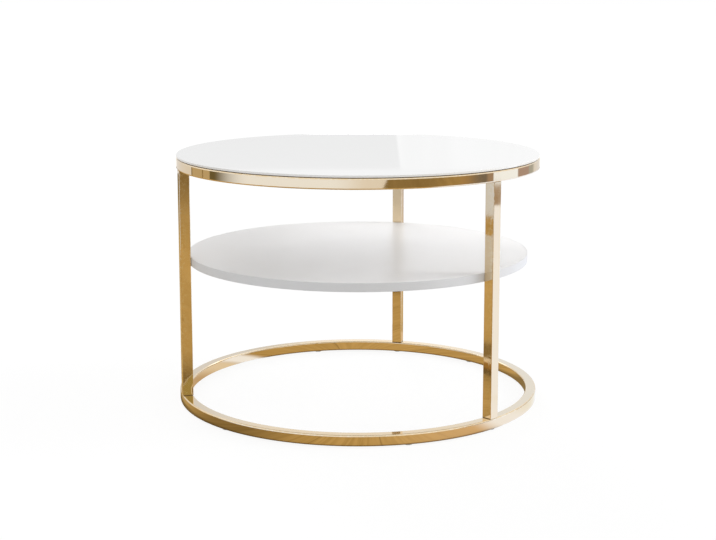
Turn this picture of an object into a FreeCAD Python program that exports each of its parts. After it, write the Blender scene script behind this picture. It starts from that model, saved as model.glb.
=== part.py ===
import FreeCAD, Part
import math
import os
import re
import Sketcher

# Round coffee table with a shelf. Two rings of square tube are held apart by three upright
# legs, a white glass plate lies on pads on the upper ring, and a white round board rests on
# tabs that are let into its underside. Millimetres, +Z up, origin on the floor under the
# table's middle.

# Legs in the order in which they stand round the table, counted from the first leg's azimuth
LEGS = ("leg_back", "leg_left", "leg_right")

# Driving dimensions, each set by itself
SIZES = {
    # rings and legs of square tube
    "ring_diameter": 700.0,
    "tube_size": 20.0,
    "tube_wall": 1.5,
    "ring_corner": 2.5,
    "leg_corner": 1.2,
    "leg_length": 434.0,
    "leg_setback": 0.2,
    "first_leg_azimuth": 90.0,
    # glass plate and the clear pads that it lies on
    "glass_thickness": 4.0,
    "glass_setback": 0.5,
    "glass_arris": 0.6,
    "pad_diameter": 9.0,
    "pad_height": 1.0,
    "pad_bevel": 0.3,
    "pads_per_bay": 2,
    # shelf board with the band round its edge
    "shelf_height": 290.0,
    "shelf_thickness": 16.0,
    "shelf_gap": 0.5,
    "band_thickness": 1.0,
    "band_round": 0.6,
    "glue_gap": 0.1,
    # tabs let into the shelf's underside and the screws through them
    "tab_thickness": 3.0,
    "tab_width": 14.0,
    "tab_length": 34.0,
    "tab_corner": 5.0,
    "seat_clearance": 0.4,
    "screw_setback": 20.0,
    "screw_diameter": 4.0,
    "screw_head_diameter": 8.0,
    "screw_head_height": 2.6,
    "screw_head_round": 1.2,
    "screw_tip": 3.0,
    "screw_cover": 4.0,
    "pilot_spare": 1.0,
    "cross_width": 1.2,
    "cross_span": 4.4,
    "cross_depth": 1.4,
    # bolts that hold the rings to the legs
    "bolt_diameter": 6.0,
    "bolt_engagement": 10.0,
    "bolt_head_diameter": 10.0,
    "bolt_head_height": 6.0,
    "bolt_bevel": 0.5,
    "hex_key": 5.0,
    "hex_depth": 3.0,
    "washer_rim": 1.0,
    "washer_thickness": 1.2,
    "access_clearance": 0.75,
    "hole_clearance": 0.3,
    "thread_gap": 0.15,
    "plug_spare": 4.0,
    "plug_bevel": 0.5,
    # caps in the access holes and glides under the lower ring
    "cap_flange_height": 1.0,
    "cap_flange_rim": 1.5,
    "cap_bevel": 0.4,
    "cap_wall": 1.2,
    "cap_depth": 4.0,
    "cap_gap": 0.2,
    "floor_clearance": 1.0,
    "glide_diameter": 14.0,
    "glide_bevel": 0.6,
    "glides_per_bay": 2,
}

# Sizes and levels that follow from the driving dimensions
FOLLOWING = {
    "ring_radius": "=ring_diameter / 2",
    "ring_bore_radius": "=ring_radius - tube_size",
    "ring_middle": "=ring_radius - tube_size / 2",
    "tube_bore": "=tube_size - 2 * tube_wall",
    "leg_circle": "=ring_middle - leg_setback",
    "leg_inner": "=leg_circle - tube_size / 2",
    "glide_height": "=cap_flange_height + floor_clearance",
    "bottom_ring_top": "=glide_height + tube_size",
    "top_ring_low": "=bottom_ring_top + leg_length",
    "top_ring_top": "=top_ring_low + tube_size",
    "glass_low": "=top_ring_top + pad_height",
    "glass_radius": "=ring_radius - glass_setback",
    "shelf_low": "=shelf_height - shelf_thickness",
    "shelf_radius": "=leg_inner - shelf_gap",
    "board_radius": "=shelf_radius - band_thickness - glue_gap",
    "tab_top": "=shelf_low + tab_thickness",
    "seat_end": "=leg_inner - tab_length - seat_clearance",
    "seat_half": "=tab_width / 2 + seat_clearance",
    "screw_circle": "=leg_inner - screw_setback",
    "screw_bite": "=shelf_thickness - tab_thickness - screw_cover",
    "screw_hole": "=screw_diameter + 2 * hole_clearance",
    "pilot_hole": "=screw_diameter + 2 * thread_gap",
    "bolt_hole": "=bolt_diameter + 2 * hole_clearance",
    "thread_hole": "=bolt_diameter + 2 * thread_gap",
    "hex_corner": "=hex_key / sqrt(3)",
    "washer_diameter": "=bolt_head_diameter + 2 * washer_rim",
    "access_hole": "=washer_diameter + 2 * access_clearance",
    "plug_height": "=bolt_engagement + plug_spare",
    "cap_stem_radius": "=access_hole / 2 - cap_gap",
    "cap_flange_radius": "=access_hole / 2 + cap_flange_rim",
}

FULL_TURN = 360.0
NEAR = 0.001
UP = 1
DOWN = -1

doc = FreeCAD.newDocument("coffee_table")
sheet = doc.addObject("Spreadsheet::Sheet", "sizes")
for row, (name, content) in enumerate({**SIZES, **FOLLOWING}.items(), start=1):
    sheet.set(f"A{row}", name)
    sheet.set(f"B{row}", str(content))
    sheet.setAlias(f"B{row}", name)
doc.recompute()

pieces = []


def bound(formula):
    """The formula with each size's name pointing at its cell in the sheet."""
    return re.sub(r"[a-z_]+", lambda word: "sizes." + word.group(), formula)


def new_piece(label, azimuth="first_leg_azimuth"):
    """An empty body, turned about the table's upright axis to the azimuth."""
    body = doc.addObject("PartDesign::Body", label)
    body.Label = label
    body.Placement.Rotation = FreeCAD.Rotation(FreeCAD.Vector(0, 0, 1), sheet.first_leg_azimuth)
    body.setExpression("Placement.Rotation.Angle", bound(azimuth))
    pieces.append(body)
    return body


def origin_part(body, role):
    """The plane or axis of the body's own origin that has this role."""
    return next(item for item in body.Origin.OriginFeatures if item.Role == role)


def new_sketch(body, plane, name, level=None):
    """A sketch on one of the body's origin planes, lifted to a level."""
    sketch = body.newObject("Sketcher::SketchObject", f"{body.Name}_{name}")
    sketch.AttachmentSupport = [(origin_part(body, plane), "")]
    sketch.MapMode = "FlatFace"
    if level:
        sketch.setExpression("AttachmentOffset.Base.z", bound(level))
    return sketch


def place_point(sketch, geometry, end, across, up):
    """Binds one point of a sketch to its distances from the sketch's origin."""
    point = sketch.getPoint(geometry, end)
    for kind, value, formula in (("DistanceX", point.x, across), ("DistanceY", point.y, up)):
        index = sketch.addConstraint(Sketcher.Constraint(kind, -1, 1, geometry, end, value))
        sketch.setExpression(f"Constraints[{index}]", bound(formula))


def add_outline(sketch, corners):
    """A closed outline of straight lines through corners given as formulas."""
    count = len(corners)
    turns = [2 * math.pi * index / count for index in range(count)]
    rough = [FreeCAD.Vector(math.cos(turn), math.sin(turn), 0) for turn in turns]
    first = sketch.GeometryCount
    for index in range(count):
        sketch.addGeometry(Part.LineSegment(rough[index], rough[(index + 1) % count]), False)
    for index, (across, up) in enumerate(corners):
        following = first + (index + 1) % count
        sketch.addConstraint(Sketcher.Constraint("Coincident", first + index, 2, following, 1))
        place_point(sketch, first + index, 1, across, up)


def add_circle(sketch, across, diameter):
    """A circle whose middle lies on the sketch's first axis."""
    rough = Part.Circle(FreeCAD.Vector(1, 0, 0), FreeCAD.Vector(0, 0, 1), 1)
    circle = sketch.addGeometry(rough, False)
    place_point(sketch, circle, 3, across, "0")
    index = sketch.addConstraint(Sketcher.Constraint("Diameter", circle, 2))
    sketch.setExpression(f"Constraints[{index}]", bound(diameter))


def rectangle(left, right, low, high):
    """Corners of an upright rectangle."""
    return [(left, low), (right, low), (right, high), (left, high)]


def pad(body, sketch, height):
    """The sketch raised by a height."""
    raised = body.newObject("PartDesign::Pad", f"{body.Name}_pad")
    raised.Profile = sketch
    raised.setExpression("Length", bound(height))
    doc.recompute()
    return raised


def turn_profile(body, profiles, axis_across=None):
    """Closed profiles turned fully about the upright axis, or about a line set off from it."""
    sketch = new_sketch(body, "XZ_Plane", "profile")
    for corners in profiles:
        add_outline(sketch, corners)
    axis_name = "V_Axis"
    if axis_across:
        line = Part.LineSegment(FreeCAD.Vector(1, 1, 0), FreeCAD.Vector(1, 2, 0))
        axis = sketch.addGeometry(line, True)
        place_point(sketch, axis, 1, axis_across, "0")
        place_point(sketch, axis, 2, axis_across, "ring_radius")
        axis_name = "Axis0"
    turned = body.newObject("PartDesign::Revolution", f"{body.Name}_turned")
    turned.Profile = sketch
    turned.ReferenceAxis = (sketch, [axis_name])
    turned.Angle = FULL_TURN
    doc.recompute()
    return turned


def pocket(body, sketch, depth, way=DOWN):
    """A cut from the sketch, upwards or downwards, which has to take material away."""
    volume_before = body.Shape.Volume
    cut = body.newObject("PartDesign::Pocket", f"{body.Name}_{sketch.Name}_cut")
    cut.Profile = sketch
    cut.Reversed = way == UP
    cut.setExpression("Length", bound(depth))
    doc.recompute()
    if body.Shape.Volume > volume_before - NEAR:
        raise RuntimeError(f"{cut.Name} cuts nothing")
    return cut


def dress_edges(body, kind, measure, formula, wanted):
    """A fillet or chamfer on the edges of the body's last feature that are wanted."""
    base = body.Tip
    names = [f"Edge{index}" for index, edge in enumerate(base.Shape.Edges, start=1) if wanted(edge)]
    dressed = body.newObject(f"PartDesign::{kind}", f"{body.Name}_{kind}")
    dressed.Base = (base, names)
    dressed.setExpression(measure, bound(formula))
    doc.recompute()
    return dressed


def repeat_round_table(body, count, features=()):
    """The features, or the whole piece where none are given, repeated evenly round the table."""
    pattern = body.newObject("PartDesign::PolarPattern", f"{body.Name}_repeats")
    if features:
        pattern.Originals = list(features)
    else:
        pattern.TransformMode = "Whole shape"
    pattern.Axis = (origin_part(body, "Z_Axis"), [""])
    pattern.Angle = FULL_TURN
    pattern.setExpression("Occurrences", bound(count))
    body.Tip = pattern
    doc.recompute()


def is_circle_of(edge, radii):
    """Whether an edge is a circle of one of these radii."""
    return isinstance(edge.Curve, Part.Circle) and min(abs(edge.Curve.Radius - r) for r in radii) < NEAR


def stands_upright(edge):
    """Whether an edge is a vertical straight line."""
    return isinstance(edge.Curve, Part.Line) and abs(edge.Curve.Direction.z) > 1 - NEAR


def leg_azimuth(index):
    """Azimuth of one leg, with the legs spread evenly."""
    return f"first_leg_azimuth + {FULL_TURN * index / len(LEGS)}"


def between_legs(per_bay):
    """Azimuth of the first of several pieces spread evenly over each bay between two legs."""
    return f"first_leg_azimuth + {FULL_TURN / 2 / len(LEGS)} / {per_bay}"


# Rings

def make_ring(label, low, bolt_wall_top, access_wall_top):
    """A ring of square tube with bolt holes in one wall and access holes in the wall opposite."""
    body = new_piece(label)
    high = f"{low} + tube_size"
    outside = rectangle("ring_bore_radius", "ring_radius", low, high)
    inside = rectangle(
        "ring_bore_radius + tube_wall",
        "ring_radius - tube_wall",
        f"{low} + tube_wall",
        f"{high} - tube_wall",
    )
    turn_profile(body, [outside, inside])
    faces = (sheet.ring_radius, sheet.ring_bore_radius)
    dress_edges(body, "Fillet", "Radius", "ring_corner", lambda edge: is_circle_of(edge, faces))
    cuts = []
    for name, level, diameter in (
        ("bolt_hole", bolt_wall_top, "bolt_hole"),
        ("access_hole", access_wall_top, "access_hole"),
    ):
        sketch = new_sketch(body, "XY_Plane", name, level)
        add_circle(sketch, "leg_circle", diameter)
        cuts.append(pocket(body, sketch, "tube_wall"))
    repeat_round_table(body, str(len(LEGS)), cuts)


make_ring("bottom_ring", "glide_height", "bottom_ring_top", "glide_height + tube_wall")
make_ring("top_ring", "top_ring_low", "top_ring_low + tube_wall", "top_ring_top")


# Legs with the threaded plugs in their ends

def make_leg(label, azimuth):
    """One upright square tube."""
    body = new_piece(label, azimuth)
    sketch = new_sketch(body, "XY_Plane", "section", "bottom_ring_top")
    for half in ("tube_size / 2", "tube_bore / 2"):
        add_outline(sketch, rectangle(f"leg_circle - {half}", f"leg_circle + {half}", f"-{half}", half))
    pad(body, sketch, "leg_length")
    half_tube = sheet.tube_size / 2
    dress_edges(
        body, "Fillet", "Radius", "leg_corner",
        lambda edge: stands_upright(edge) and abs(abs(edge.CenterOfMass.y) - half_tube) < NEAR,
    )


def make_plug(label, azimuth, low):
    """A square steel plug with a threaded hole, welded into one end of a leg."""
    body = new_piece(label, azimuth)
    sketch = new_sketch(body, "XY_Plane", "section", low)
    half = "tube_bore / 2"
    add_outline(sketch, rectangle(f"leg_circle - {half}", f"leg_circle + {half}", f"-{half}", half))
    add_circle(sketch, "leg_circle", "thread_hole")
    pad(body, sketch, "plug_height")
    half_bore = sheet.tube_bore / 2
    dress_edges(
        body, "Chamfer", "Size", "plug_bevel",
        lambda edge: stands_upright(edge) and abs(abs(edge.CenterOfMass.y) - half_bore) < NEAR,
    )


for index, label in enumerate(LEGS):
    make_leg(label, leg_azimuth(index))
    make_plug(f"{label}_bottom_plug", leg_azimuth(index), "bottom_ring_top")
    make_plug(f"{label}_top_plug", leg_azimuth(index), "top_ring_low - plug_height")


# Bolts and washers inside the ring tubes

def make_bolts(ring, seat, way):
    """Socket-head bolts and their washers, seated on a ring's wall, with the shanks up or down."""
    washer_face = f"{seat} - {way} * washer_thickness"
    head_face = f"{seat} - {way} * (washer_thickness + bolt_head_height)"
    tip = f"{seat} + {way} * (tube_wall + bolt_engagement)"
    head = "leg_circle + bolt_head_diameter / 2"
    shank = "leg_circle + bolt_diameter / 2"
    bolts = new_piece(f"{ring}_bolts")
    profile = [
        ("leg_circle", head_face),
        (f"{head} - bolt_bevel", head_face),
        (head, f"{head_face} + {way} * bolt_bevel"),
        (head, washer_face),
        (shank, washer_face),
        (shank, f"{tip} - {way} * bolt_bevel"),
        (f"{shank} - bolt_bevel", tip),
        ("leg_circle", tip),
    ]
    turn_profile(bolts, [profile], "leg_circle")
    socket = new_sketch(bolts, "XY_Plane", "socket", head_face)
    corners = []
    for side in (UP, DOWN):
        corners.append((f"leg_circle + {side} * hex_corner", "0"))
        corners.append((f"leg_circle + {side} * hex_corner / 2", f"{side} * hex_key / 2"))
        corners.append((f"leg_circle - {side} * hex_corner / 2", f"{side} * hex_key / 2"))
    add_outline(socket, corners)
    pocket(bolts, socket, "hex_depth", way)
    repeat_round_table(bolts, str(len(LEGS)))

    washers = new_piece(f"{ring}_washers")
    section = rectangle(
        "leg_circle + bolt_hole / 2", "leg_circle + washer_diameter / 2", seat, washer_face
    )
    turn_profile(washers, [section], "leg_circle")
    repeat_round_table(washers, str(len(LEGS)))


make_bolts("bottom_ring", "bottom_ring_top - tube_wall", UP)
make_bolts("top_ring", "top_ring_low + tube_wall", DOWN)


# Caps and glides under the lower ring

caps = new_piece("bottom_hole_caps")
flange = "leg_circle + cap_flange_radius"
stem = "leg_circle + cap_stem_radius"
turn_profile(caps, [[
    ("leg_circle", "floor_clearance"),
    (f"{flange} - cap_bevel", "floor_clearance"),
    (flange, "floor_clearance + cap_bevel"),
    (flange, "glide_height"),
    (stem, "glide_height"),
    (stem, "glide_height + cap_depth"),
    (f"{stem} - cap_wall", "glide_height + cap_depth"),
    (f"{stem} - cap_wall", "glide_height"),
    ("leg_circle", "glide_height"),
]], "leg_circle")
repeat_round_table(caps, str(len(LEGS)))

glides = new_piece("floor_glides", between_legs("glides_per_bay"))
rim = "ring_middle + glide_diameter / 2"
turn_profile(glides, [[
    ("ring_middle", "0"),
    (f"{rim} - glide_bevel", "0"),
    (rim, "glide_bevel"),
    (rim, "glide_height"),
    ("ring_middle", "glide_height"),
]], "ring_middle")
repeat_round_table(glides, f"{len(LEGS)} * glides_per_bay")


# Shelf board with its edge band, tabs and screws

def cut_tab_seat(body):
    """A recess from the leg inwards that takes one tab, open to the underside."""
    sketch = new_sketch(body, "XY_Plane", "tab_seat", "shelf_low")
    add_outline(sketch, rectangle("seat_end", "leg_inner", "-seat_half", "seat_half"))
    return pocket(body, sketch, "tab_thickness", UP)


board = new_piece("shelf_board")
outline = new_sketch(board, "XY_Plane", "outline", "shelf_low")
add_circle(outline, "0", "2 * board_radius")
pad(board, outline, "shelf_thickness")
seat_cut = cut_tab_seat(board)
pilot = new_sketch(board, "XY_Plane", "pilot", "tab_top")
add_circle(pilot, "screw_circle", "pilot_hole")
pilot_cut = pocket(board, pilot, "screw_bite + pilot_spare", UP)
repeat_round_table(board, str(len(LEGS)), [seat_cut, pilot_cut])

band = new_piece("shelf_edge_band")
section = rectangle("shelf_radius - band_thickness", "shelf_radius", "shelf_low", "shelf_height")
turn_profile(band, [section])
dress_edges(band, "Fillet", "Radius", "band_round", lambda edge: is_circle_of(edge, [sheet.shelf_radius]))
repeat_round_table(band, str(len(LEGS)), [cut_tab_seat(band)])


def make_tab(label, azimuth):
    """A flat steel tab welded to a leg's inner face, with a screw hole."""
    body = new_piece(label, azimuth)
    sketch = new_sketch(body, "XY_Plane", "plan", "shelf_low")
    add_outline(sketch, rectangle("leg_inner - tab_length", "leg_inner", "-tab_width / 2", "tab_width / 2"))
    add_circle(sketch, "screw_circle", "screw_hole")
    pad(body, sketch, "tab_thickness")
    free_end = sheet.leg_inner - sheet.tab_length
    dress_edges(
        body, "Fillet", "Radius", "tab_corner",
        lambda edge: stands_upright(edge) and abs(edge.CenterOfMass.x - free_end) < NEAR,
    )


for index, label in enumerate(LEGS):
    make_tab(label.replace("leg", "shelf_tab"), leg_azimuth(index))

screws = new_piece("shelf_screws")
screw_head = "screw_circle + screw_head_diameter / 2"
screw_shank = "screw_circle + screw_diameter / 2"
head_low = "shelf_low - screw_head_height"
screw_end = "tab_top + screw_bite"
turn_profile(screws, [[
    ("screw_circle", head_low),
    (screw_head, head_low),
    (screw_head, "shelf_low"),
    (screw_shank, "shelf_low"),
    (screw_shank, f"{screw_end} - screw_tip"),
    ("screw_circle", screw_end),
]], "screw_circle")
head_radius = sheet.screw_head_diameter / 2
dress_edges(
    screws, "Fillet", "Radius", "screw_head_round",
    lambda edge: is_circle_of(edge, [head_radius]) and edge.CenterOfMass.z < sheet.shelf_low - NEAR,
)
recess = new_sketch(screws, "XY_Plane", "recess", head_low)
cross = []
for along, side in ((UP, UP), (DOWN, UP), (DOWN, DOWN), (UP, DOWN)):
    arm = (f"screw_circle + {along} * cross_span / 2", f"{side} * cross_width / 2")
    notch = (f"screw_circle + {along} * cross_width / 2", f"{side} * cross_width / 2")
    stroke = (f"screw_circle + {along} * cross_width / 2", f"{side} * cross_span / 2")
    cross += [arm, notch, stroke] if along == side else [stroke, notch, arm]
add_outline(recess, cross)
pocket(screws, recess, "cross_depth", UP)
repeat_round_table(screws, str(len(LEGS)))


# Glass plate and the pads under it

pads = new_piece("glass_pads", between_legs("pads_per_bay"))
rim = "ring_middle + pad_diameter / 2"
turn_profile(pads, [[
    ("ring_middle", "top_ring_top"),
    (rim, "top_ring_top"),
    (rim, "glass_low - pad_bevel"),
    (f"{rim} - pad_bevel", "glass_low"),
    ("ring_middle", "glass_low"),
]], "ring_middle")
repeat_round_table(pads, f"{len(LEGS)} * pads_per_bay")

glass = new_piece("glass_top")
outline = new_sketch(glass, "XY_Plane", "outline", "glass_low")
add_circle(outline, "0", "2 * glass_radius")
pad(glass, outline, "glass_thickness")
dress_edges(glass, "Chamfer", "Size", "glass_arris", lambda edge: is_circle_of(edge, [sheet.glass_radius]))


# Every object has to be sound before anything is written

doc.recompute()
for item in doc.Objects:
    if {"Invalid", "Error"} & set(item.State):
        raise RuntimeError(f"{item.Label} failed: {item.State}")
for body in pieces:
    if body.Shape.isNull() or not body.Shape.isValid():
        raise RuntimeError(f"{body.Label} has no sound shape")

os.makedirs("parts", exist_ok=True)
for body in pieces:
    body.Shape.exportStep(f"parts/{body.Label}.step")
    box = body.Shape.BoundBox
    print(
        f"{body.Label}: {len(body.Shape.Solids)} solids, {body.Shape.Volume:.1f} mm3,"
        f" z {box.ZMin:.2f} to {box.ZMax:.2f}"
    )
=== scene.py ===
import math

import bmesh
import bpy
from mathutils import Matrix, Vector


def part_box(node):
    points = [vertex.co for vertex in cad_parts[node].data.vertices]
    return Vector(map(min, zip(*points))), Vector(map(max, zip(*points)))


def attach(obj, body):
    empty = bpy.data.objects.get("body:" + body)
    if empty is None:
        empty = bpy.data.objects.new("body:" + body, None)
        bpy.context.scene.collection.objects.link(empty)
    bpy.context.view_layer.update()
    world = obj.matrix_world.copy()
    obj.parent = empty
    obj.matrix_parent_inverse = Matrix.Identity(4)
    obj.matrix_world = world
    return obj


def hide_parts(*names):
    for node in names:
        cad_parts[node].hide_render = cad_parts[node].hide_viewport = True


# Looks of a round coffee table: polished gold square tube, a white glass plate and a white
# coated shelf. Metres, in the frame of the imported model.
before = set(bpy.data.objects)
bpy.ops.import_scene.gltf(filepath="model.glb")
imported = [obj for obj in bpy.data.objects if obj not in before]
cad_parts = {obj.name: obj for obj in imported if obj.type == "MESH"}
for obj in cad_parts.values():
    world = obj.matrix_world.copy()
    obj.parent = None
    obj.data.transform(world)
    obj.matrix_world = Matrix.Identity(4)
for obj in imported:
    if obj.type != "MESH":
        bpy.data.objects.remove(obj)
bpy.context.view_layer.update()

# Square tube of the rings and legs
TUBE_WALL = 0.0015
RING_CORNER = 0.0025
LEG_CORNER = 0.0012
CORNER_STEPS = 5
EDGE_MARGIN = 0.0008
# Height of the band of painted shade at each leg's foot
SEAM_SHADE_WIDTH = 0.0016
LEG_AZIMUTHS = {"leg_back": 90, "leg_left": 210, "leg_right": 330}

# Holes in the rings at each leg
ACCESS_HOLE_RADIUS = 0.00675
BOLT_HOLE_RADIUS = 0.0033
HOLE_STEPS = 48

# Glass plate and its pads
GLASS_ARRIS = 0.0006
ARRIS_STEPS = 2
PAD_DIAMETER = 0.009
PAD_ROUND = 0.0003
PAD_ROUND_STEPS = 3
PADS_PER_BAY = 2

# Shelf board and the band round it
BAND_THICKNESS = 0.001
BAND_ROUND = 0.0006
BAND_ROUND_STEPS = 4
BOARD_BREAK = 0.0002
BREAK_STEPS = 1
TAB_CLEARANCE = 0.0004
SCREW_SETBACK = 0.030
PILOT_RADIUS = 0.00215
PILOT_COVER = 0.003

# Faces round a full turn
ROUND_STEPS = 240
PAD_STEPS = 40

# Places nearer than this count as one, and bends of more degrees than this stay sharp
NEAR = 1e-5
CREASE_ANGLE = 45

# A face whose normal points up or down by more than this counts as level
LEVEL_NORMAL = 0.99

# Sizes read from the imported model, and what follows from them
leg_low, leg_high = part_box("leg_back")
TUBE_SIDE = leg_high.x - leg_low.x
HALF_FLAT = TUBE_SIDE / 2 - LEG_CORNER
MARGIN_LINE = HALF_FLAT - EDGE_MARGIN
LEG_CIRCLE = (leg_low.y + leg_high.y) / 2
RING_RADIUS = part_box("top_ring")[1].x

# Sockets of a Mix node that mixes colours
MIX_FACTOR = 0
MIX_FIRST = 6
MIX_SECOND = 7
MIX_RESULT = 2


class Channel:
    """One output of a finish's nodes; sums between channels and numbers add Math nodes."""

    def __init__(self, finish, socket):
        self.finish = finish
        self.socket = socket

    def math(self, operation, *values):
        """One step of reckoning, as a Math node."""
        return self.finish.node("ShaderNodeMath", {"operation": operation}, dict(enumerate(values)))

    def __add__(self, other):
        return self.math("ADD", self, other)

    def __sub__(self, other):
        return self.math("SUBTRACT", self, other)

    def __rsub__(self, other):
        return self.math("SUBTRACT", other, self)

    def __mul__(self, other):
        return self.math("MULTIPLY", self, other)

    __radd__ = __add__
    __rmul__ = __mul__


class Finish:
    """The node tree of a material or of the world."""

    def __init__(self, owner):
        owner.use_nodes = True
        self.owner = owner
        self.tree = owner.node_tree

    def feed(self, node, inputs):
        """Links channels to a node's sockets, and sets plain values on them."""
        for key, value in inputs.items():
            if isinstance(value, Channel):
                self.tree.links.new(value.socket, node.inputs[key])
            else:
                node.inputs[key].default_value = value

    def node(self, kind, settings, inputs, output=0):
        """Adds a node of any type with its settings and sockets; gives one of its outputs."""
        made = self.tree.nodes.new(kind)
        for name, value in settings.items():
            setattr(made, name, value)
        self.feed(made, inputs)
        return Channel(self, made.outputs[output])

    def spot(self):
        """The place on the piece, in metres."""
        return self.node("ShaderNodeTexCoord", {}, {}, "Object")

    def mapping(self, vector, **changes):
        """A place turned or stretched."""
        return self.node("ShaderNodeMapping", {}, {"Vector": vector, **changes})

    def axes(self, vector):
        """The three parts of a place."""
        split = self.node("ShaderNodeSeparateXYZ", {}, {"Vector": vector})
        return [Channel(self, socket) for socket in split.socket.node.outputs]

    def noise(self, scale, detail=2, stretch=(1, 1, 1), spot=None):
        """Cloudy values from about 0 to 1; a higher scale gives finer ones."""
        vector = self.mapping(spot or self.spot(), Scale=stretch)
        return self.node("ShaderNodeTexNoise", {}, {"Vector": vector, "Scale": scale, "Detail": detail})

    def ramp(self, value, low, high, to_low=0.0, to_high=1.0):
        """A soft rise from one level to another while a value goes from low to high."""
        inputs = {"Value": value, "From Min": low, "From Max": high, "To Min": to_low, "To Max": to_high}
        return self.node("ShaderNodeMapRange", {"interpolation_type": "SMOOTHSTEP"}, inputs)

    def between(self, value, low, high, soft):
        """1 on a stretch of a value and 0 beside it, with soft ends."""
        opens = self.ramp(value, low - soft, low + soft)
        return opens * (1 - self.ramp(value, high - soft, high + soft))

    def blend(self, factor, first, second):
        """The first colour where the factor is 0, and the second where it is 1."""
        inputs = {MIX_FACTOR: factor, MIX_FIRST: first, MIX_SECOND: second}
        return self.node("ShaderNodeMix", {"data_type": "RGBA"}, inputs, MIX_RESULT)

    def bump(self, height, depth, strength):
        """A fine relief, with its depth in metres."""
        inputs = {"Height": height, "Distance": depth, "Strength": strength}
        return self.node("ShaderNodeBump", {}, inputs)


def surface(name, constants):
    """A new material with its shader's even values set; returns the finish and its shader."""
    finish = Finish(bpy.data.materials.new(name))
    shader = finish.tree.nodes["Principled BSDF"]
    finish.feed(shader, constants)
    return finish, shader


def grey(level):
    """An even grey."""
    return (level, level, level, 1.0)


# Tones of the finishes, and how strongly glass and silicone bend light
GOLD_DEEP = (0.845, 0.675, 0.440, 1.0)
GOLD_PALE = (0.865, 0.700, 0.470, 1.0)
GOLD_RUBBED = (0.885, 0.755, 0.560, 1.0)
# Painted shade in the joint at each leg's foot
SEAM_SHADE_BROWN = (0.20, 0.13, 0.05, 1.0)
GLASS_WHITE = grey(0.845)
GLASS_PALE = (0.858, 0.862, 0.860, 1.0)
# Rim tones: painted light carried through the glass, lighter than the face
RIM_LIT_WARM = (0.955, 0.930, 0.895, 1.0)
RIM_LIT_PALE = (0.975, 0.955, 0.925, 1.0)
LACQUER_DULL = grey(0.79)
LACQUER_PALE = grey(0.83)
BOARD_DULL = (0.845, 0.842, 0.842, 1.0)
BOARD_PALE = (0.870, 0.868, 0.868, 1.0)
BOARD_FLECK = grey(0.76)
EDGING_DULL = (0.79, 0.788, 0.79, 1.0)
EDGING_PALE = grey(0.815)
SILICONE_MILKY = (0.78, 0.79, 0.78, 1.0)
SILICONE_CLEAR = (0.88, 0.89, 0.88, 1.0)
CAP_LIGHT = grey(0.075)
CAP_DARK = grey(0.045)
GLIDE_LIGHT = grey(0.80)
GLIDE_DARK = grey(0.74)
ZINC_DULL = (0.56, 0.57, 0.59, 1.0)
ZINC_BRIGHT = (0.74, 0.75, 0.76, 1.0)
STEEL_DARK = grey(0.36)
STEEL_PALE = (0.56, 0.56, 0.55, 1.0)
GLASS_IOR = 1.52
SILICONE_IOR = 1.41


def polished_gold():
    """Pale gold plating on polished tube: mirror-like, faintly wiped, with worn edges and painted shade in
    the joints at the legs' feet.
    """
    finish, shader = surface("polished_gold", {"Metallic": 1.0})
    cloud = finish.noise(scale=7.0, detail=3)
    gold = finish.blend(cloud, GOLD_DEEP, GOLD_PALE)
    worn = finish.node("ShaderNodeAttribute", {"attribute_name": "edge_wear"}, {}, "Fac")
    rub = worn * finish.ramp(finish.noise(scale=160.0, detail=4), 0.45, 0.62)
    gold = finish.blend(rub, gold, GOLD_RUBBED)
    # Painted shade in the joint at each leg's foot, which is also duller there
    end = finish.node("ShaderNodeAttribute", {"attribute_name": "shaded_joint"}, {}, "Fac")
    shaded_seam = finish.ramp(end, 0.05, 0.40)
    finish.feed(shader, {"Base Color": finish.blend(shaded_seam, gold, SEAM_SHADE_BROWN)})
    smear = finish.ramp(finish.noise(scale=38.0, detail=5, stretch=(1, 1, 0.35)), 0.48, 0.72)
    hairline = finish.ramp(finish.noise(scale=900.0, detail=2, stretch=(1, 1, 0.06)), 0.60, 0.74)
    wiped = 0.035 + smear * 0.035 + hairline * 0.03
    finish.feed(shader, {"Roughness": wiped + rub * 0.08 + shaded_seam * 0.3})
    ripple = finish.noise(scale=24.0, detail=2)
    finish.feed(shader, {"Normal": finish.bump(ripple, depth=0.00002, strength=0.6)})
    return finish.owner


def white_glass():
    """The plate's upper face: white seen through polished glass, with faint wipe marks."""
    finish, shader = surface("white_glass", {"IOR": GLASS_IOR})
    cloud = finish.noise(scale=5.0, detail=3)
    finish.feed(shader, {"Base Color": finish.blend(cloud, GLASS_WHITE, GLASS_PALE)})
    smear = finish.ramp(finish.noise(scale=16.0, detail=6, stretch=(1, 2.2, 1)), 0.50, 0.74)
    dust = finish.ramp(finish.noise(scale=1400.0, detail=2), 0.68, 0.76)
    finish.feed(shader, {"Roughness": 0.015 + smear * 0.035 + dust * 0.12})
    ripple = finish.noise(scale=9.0, detail=1)
    finish.feed(shader, {"Normal": finish.bump(ripple, depth=0.00003, strength=0.35)})
    return finish.owner


def glass_rim():
    """The polished edge of the plate, bright and a little warm: painted light carried through the glass,
    lighter than the face.
    """
    finish, shader = surface("glass_rim", {"IOR": GLASS_IOR})
    streak = finish.noise(scale=60.0, detail=3, stretch=(1, 1, 12))
    finish.feed(shader, {"Base Color": finish.blend(streak, RIM_LIT_WARM, RIM_LIT_PALE)})
    finish.feed(shader, {"Roughness": 0.05 + finish.noise(scale=300.0, detail=3) * 0.06})
    polish = finish.noise(scale=420.0, detail=2)
    finish.feed(shader, {"Normal": finish.bump(polish, depth=0.00002, strength=0.4)})
    return finish.owner


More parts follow.
